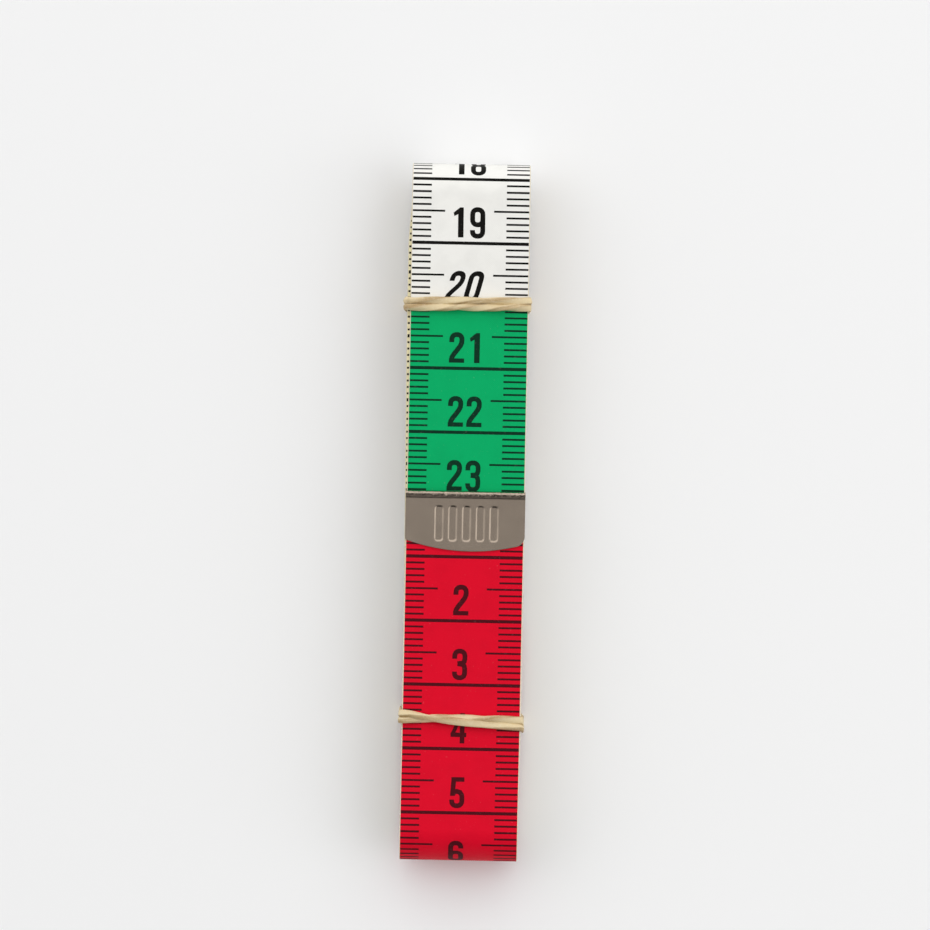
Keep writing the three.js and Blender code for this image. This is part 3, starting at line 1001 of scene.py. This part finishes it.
class BandOutline:
    """The taut line that a band follows round the stack of turns, from the middle of the back."""

    def __init__(self, path, y, slide, band):
        self.y, self.width = y, path.tape.width
        half, flat = path.tape.width / 2, path.tape.thickness / 2
        reach = band.strand_depth / 2
        corners = []
        # Wide enough for the stack at both ends of the band's slide
        for across, height in sorted({*path.runs_at(y), *path.runs_at(y - slide)}):
            corners += [(across + side * half, height + up * flat) for side in (-1, 1) for up in (-1, 1)]
        hull = [Vector(corners[index]) for index in convex_hull_2d(corners)]
        area = sum(a.x * b.y - b.x * a.y for a, b in zip(hull, [*hull[1:], hull[0]]))
        if area > 0:
            hull.reverse()
        lowest = min(range(len(hull)), key=lambda k: hull[k].y + hull[(k + 1) % len(hull)].y)
        hull = hull[lowest + 1 :] + hull[: lowest + 1]
        start = (hull[0] + hull[-1]) / 2
        self.samples = []
        self.around = 0.0
        line = [start, *hull, start]
        for k in range(len(line) - 1):
            here, there = line[k], line[k + 1]
            heading = (there - here).normalized()
            outward = Vector((-heading.y, heading.x))
            count = max(1, math.ceil((there - here).length / band.step))
            for j in range(count):
                self.samples.append((here.lerp(there, j / count), outward, self.around))
                self.around += (there - here).length / count
            if k + 2 < len(line):
                following = (line[k + 2] - there).normalized()
                turn = heading.angle_signed(following)
                count = max(1, math.ceil(abs(turn) * reach / band.step * 1.6))
                for j in range(count):
                    turned = Matrix.Rotation(-turn * j / count, 2) @ outward
                    self.samples.append((there, turned, self.around))
                    self.around += abs(turn) * reach / count

    def distance_of(self, x):
        """Where the line passes x on the front."""
        return min((s for s in self.samples if s[1].y > 0.9), key=lambda s: abs(s[0].x - x))[2]


def band_section(band, sides):
    """A rounded four-sided section, as lengths across and outwards."""
    turns = (squared(2 * math.pi * k / sides, 0.5) for k in range(sides))
    return [Vector((across * band.strand_width / 2, up * band.strand_depth / 2)) for across, up in turns]


# Shares of its depth that a strand keeps on the front, on the back, over the sides and at the crossing
ON_FRONT, ON_BACK, OVER_SIDES, AT_CROSSING = 1, 1.3, 0.4, 0.6


class BandLay(NamedTuple):
    """How one band lies round the winding: it leans across the front, and slips down at its right side."""

    crossing_at: float
    before_crossing: float
    after_crossing: float
    twists: int
    lean: float
    slip: float
    seed: float


def band_piece(name, band, outline, lay, material):
    """One rubber band, laid twice round the winding, whose strands cross once."""
    sides = 16
    section = band_section(band, sides)
    samples = outline.samples
    count = len(samples)

    def place(column, row):
        base, outward, distance = samples[row % count]
        turn = (row // count) % 2
        along = distance + turn * outline.around
        past = distance - lay.crossing_at
        share = min(max(past / (lay.before_crossing if past < 0 else lay.after_crossing), -1), 1)
        share = (3 * share - share**3) / 2
        side = 1 if turn == 0 else -1
        drift = noise.noise(Vector((along * 90, lay.seed, 0))) * band.drift
        lateral = side * share * band.strand_spacing / 2 + drift
        lateral += lay.lean * (0.6 - base.x / outline.width * 2)
        lateral -= lay.slip * smooth(outward.x * 1.6 - 0.4)
        fullness = ON_FRONT if outward.y > 0 else ON_BACK
        fullness -= (fullness - OVER_SIDES) * outward.x**2
        fullness *= 1 - (1 - AT_CROSSING) * (1 - share * share)
        lift = (1 - share * share) * band.strand_depth * fullness if turn else 0
        total = 2 * outline.around
        phase = 0.5 * math.sin(2 * math.pi * (3 * along / total) + lay.seed)
        phase -= math.pi * lay.twists * along / total
        spun = Matrix.Rotation(phase, 2)
        ring = [spun @ corner for corner in section]
        inner = -min(corner.y for corner in ring)
        corner = ring[column % sides]
        out = (inner + corner.y) * fullness + lift
        # The back of the band is pressed flat on what the tape lies on
        height = max(base.y + outward.y * out, 0)
        return Vector((base.x + outward.x * out, outline.y + lateral + corner.x, height))

    bm = mapped_grid(sides, 2 * count, place, lambda column, row: (column / sides, row / (2 * count)))
    close_skin(bm)
    return add_piece(name, bm, [material])


class TAPE_OT_bands(Operator):
    """Build the two doubled rubber bands"""

    bl_idname = "tape_measure.bands"
    bl_label = "Rubber Bands"

    def execute(self, context):
        band = context.scene.tape_bands
        path = WoundPath(context.scene.tape_strip)
        rubber = natural_rubber(band)
        round_upper = BandOutline(path, path.upper_band, 0, band)
        upper_lay = BandLay(
            crossing_at=4.8 * MM,
            before_crossing=4.6 * MM,
            after_crossing=4.6 * MM,
            twists=13,
            lean=-0.1 * MM,
            slip=0,
            seed=1.3,
        )
        upper = band_piece("upper_band_strands", band, round_upper, upper_lay, rubber)
        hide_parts("upper_rubber_band")
        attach(upper, "upper_band")
        round_lower = BandOutline(path, path.lower_band, band.lower_slide, band)
        lower_lay = BandLay(
            crossing_at=round_lower.distance_of(-4.5 * MM),
            before_crossing=4.5 * MM,
            after_crossing=12 * MM,
            twists=9,
            lean=0.38 * MM,
            slip=0.35 * MM,
            seed=4.1,
        )
        lower = band_piece("lower_band_strands", band, round_lower, lower_lay, rubber)
        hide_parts("lower_rubber_band")
        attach(lower, "lower_band")
        return {"FINISHED"}


def area_light(name, place, size, power):
    light = bpy.data.lights.new(name, "AREA")
    light.shape = "RECTANGLE"
    light.size, light.size_y = size
    light.energy = power
    lamp = linked_object(name, light)
    lamp.location = place
    lamp.rotation_euler = (-Vector(place)).to_track_quat("-Z", "Y").to_euler()


class TAPE_OT_studio(Operator):
    """Lay the floor and place the light and the camera"""

    bl_idname = "tape_measure.studio"
    bl_label = "Studio"

    def execute(self, context):
        scene = context.scene
        studio = scene.tape_studio
        bm = bmesh.new()
        bmesh.ops.create_grid(bm, x_segments=1, y_segments=1, size=8)
        floor = linked_object("studio_floor", mesh_from("studio_floor", bm))
        finish = Finish("pale_floor")
        floor.data.materials.append(finish.done(Base_Color=rgba(studio.floor), Roughness=0.9))

        area_light("key_light", place=(-0.14, 0.65, 0.85), size=(2.8, 1.1), power=9.0)
        area_light("side_light", place=(0.7, -0.3, 0.7), size=(1.1, 1.0), power=2.7)
        world = bpy.data.worlds.new("studio_light")
        world.use_nodes = True
        sky = Nodes(world.node_tree)
        heading = sky.node("ShaderNodeTexCoord", {}, {}, output="Generated")
        along = sky.node("ShaderNodeSeparateXYZ", {}, {"Vector": heading}, output="Y")
        up = sky.node("ShaderNodeSeparateXYZ", {}, {"Vector": heading}, output="Z")
        dome = 0.48 + ((1 - up * up) * 2.2).clamped() * 0.65
        # A dark gap for the metal to show, and less sky behind the key light
        lit = (dome - along.near(-0.65, 0.5) * 0.95 - along.near(0.6, 0.5) * 0.5).clamped()
        sky.feed(sky.tree.nodes["Background"].inputs["Strength"], lit)
        sky.feed(sky.tree.nodes["Background"].inputs["Color"], (1, 1, 1, 1))
        scene.world = world

        camera = bpy.data.cameras.new("studio_camera")
        camera.sensor_width = 36
        camera.lens = studio.lens
        camera.clip_start = 0.01
        front = WoundPath(scene.tape_strip).heights[0]
        distance = studio.span * studio.lens / camera.sensor_width
        across, along = -studio.above * math.sin(studio.roll), studio.above * math.cos(studio.roll)
        eye = linked_object("studio_camera", camera)
        eye.location = (across, along, front + distance)
        eye.rotation_euler = (0, 0, studio.roll)
        scene.camera = eye
        scene.view_settings.view_transform = "Standard"
        return {"FINISHED"}


OPERATORS = (TAPE_OT_strip, TAPE_OT_scale, TAPE_OT_tips, TAPE_OT_bands, TAPE_OT_studio)


class TAPE_PT_workshop(Panel):
    """Lists what builds the tape measure"""

    bl_label = "Tape Measure"
    bl_idname = "TAPE_PT_workshop"
    bl_space_type = "VIEW_3D"
    bl_region_type = "UI"
    bl_category = "Tape Measure"

    def draw(self, context):
        for operator in OPERATORS:
            self.layout.operator(operator.bl_idname)
        for name in SETTINGS:
            group = getattr(context.scene, name)
            box = self.layout.box()
            for key in group.__annotations__:
                box.prop(group, key)


SETTINGS = {
    "tape_strip": TapeStripSettings,
    "tape_scale": PrintedScaleSettings,
    "tape_tips": MetalTipSettings,
    "tape_bands": RubberBandSettings,
    "tape_studio": StudioSettings,
}


def register():
    for group in (*SETTINGS.values(), *OPERATORS, TAPE_PT_workshop):
        bpy.utils.register_class(group)
    for name, group in SETTINGS.items():
        setattr(bpy.types.Scene, name, PointerProperty(type=group))


def unregister():
    for name in SETTINGS:
        delattr(bpy.types.Scene, name)
    for group in (TAPE_PT_workshop, *OPERATORS, *SETTINGS.values()):
        bpy.utils.unregister_class(group)


def main():
    register()
    bpy.ops.tape_measure.strip()
    bpy.ops.tape_measure.scale()
    bpy.ops.tape_measure.tips()
    bpy.ops.tape_measure.bands()
    bpy.ops.tape_measure.studio()


if __name__ == "__main__":
    main()
